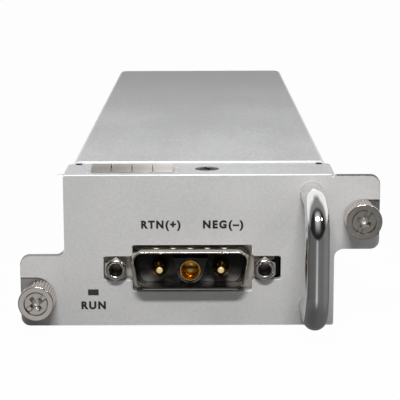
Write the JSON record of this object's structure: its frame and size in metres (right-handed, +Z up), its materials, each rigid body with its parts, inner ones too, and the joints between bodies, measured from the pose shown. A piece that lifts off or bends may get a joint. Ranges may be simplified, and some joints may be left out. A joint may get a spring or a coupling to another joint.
{
  "type": "dc power supply module",
  "caption": "Flat plug-in DC power module: sheet-metal case, eared front panel with D-shaped power plug, pull handle and captive thumbscrews, blind-mating rear connector.",
  "frame": {"origin": "under the middle of the object, on the plane of the tray's underside", "axes": "+X to the right seen from the front, +Y from the front panel to the rear connector, +Z up through the cover"},
  "size_m": [0.0804, 0.2432, 0.036],
  "materials": {
    "plated_steel": "satin",
    "film": "fine matt texture",
    "galvanised": "satin galvanised",
    "dark_screw": "dark plated",
    "contact_spring": "tinned copper alloy",
    "bright_chrome": "polished",
    "screw_steel": "zinc plated",
    "nickel": "nickel plated, knurled",
    "screw_nickel": "nickel plated",
    "white_nylon": "moulded",
    "tinned_shell": "tin plated",
    "black_insulator": "moulded",
    "gold_contact": "gold plated",
    "jack_nickel": "nickel plated",
    "lamp_window": "smoked clear",
    "lamp_case": "moulded",
    "board_green": "lacquered",
    "insulating_film": "clear film",
    "fuse_ceramic": "ceramic",
    "surge_blue": "dipped",
    "ferrite": "coated",
    "copper_wire": "enamelled",
    "capacitor_box": "moulded",
    "capacitor_can": "sleeved",
    "converter_case": "potted",
    "heatsink_alloy": "extruded"
  },
  "bodies": {
    "case": {"front_panel": "plated_steel", "panel_overlay": "film", "tray": "galvanised", "top_cover": "galvanised", "cover_screws": "dark_screw", "flange_screw": "dark_screw", "finger_strip": "contact_spring", "handle": "bright_chrome", "handle_screws": "screw_steel", "connector_shell": "tinned_shell", "connector_body": "black_insulator", "power_pins": "gold_contact", "return_socket": "gold_contact", "jackscrews": "jack_nickel", "connector_brackets": "galvanised", "light_pipe": "lamp_window", "run_lamp": "lamp_case", "circuit_board": "board_green", "standoffs": "screw_steel", "board_screws": "screw_steel", "insulating_sheet": "insulating_film", "input_fuse": "fuse_ceramic", "fuse_clips": "contact_spring", "surge_absorbers": "surge_blue", "choke_core": "ferrite", "choke_windings": "copper_wire", "film_capacitors": "capacitor_box", "bulk_capacitors": "capacitor_can", "output_capacitors": "capacitor_can", "converter_module": "converter_case", "converter_heatsink": "heatsink_alloy", "backplane_housing": "black_insulator", "backplane_contacts": "gold_contact"},
    "left_slider": {"left_washer": "white_nylon"},
    "left_thumbscrew": {"left_knob": "nickel", "left_screw": "screw_nickel"},
    "right_slider": {"right_washer": "white_nylon"},
    "right_thumbscrew": {"right_knob": "nickel", "right_screw": "screw_nickel"}
  },
  "joints": [
    {"name": "left_screw_slide", "type": "slide", "parent": "case", "child": "left_slider", "axis": [0, -1, 0], "range_m": [0, 0.004]},
    {"name": "left_screw_turn", "type": "hinge", "parent": "left_slider", "child": "left_thumbscrew", "pos_m": [-0.0361, -0.1004, 0.00695], "axis": [0, 1, 0], "continuous": true},
    {"name": "right_screw_slide", "type": "slide", "parent": "case", "child": "right_slider", "axis": [0, -1, 0], "range_m": [0, 0.004]},
    {"name": "right_screw_turn", "type": "hinge", "parent": "right_slider", "child": "right_thumbscrew", "pos_m": [0.0361, -0.1004, 0.0252], "axis": [0, 1, 0], "continuous": true}
  ]
}
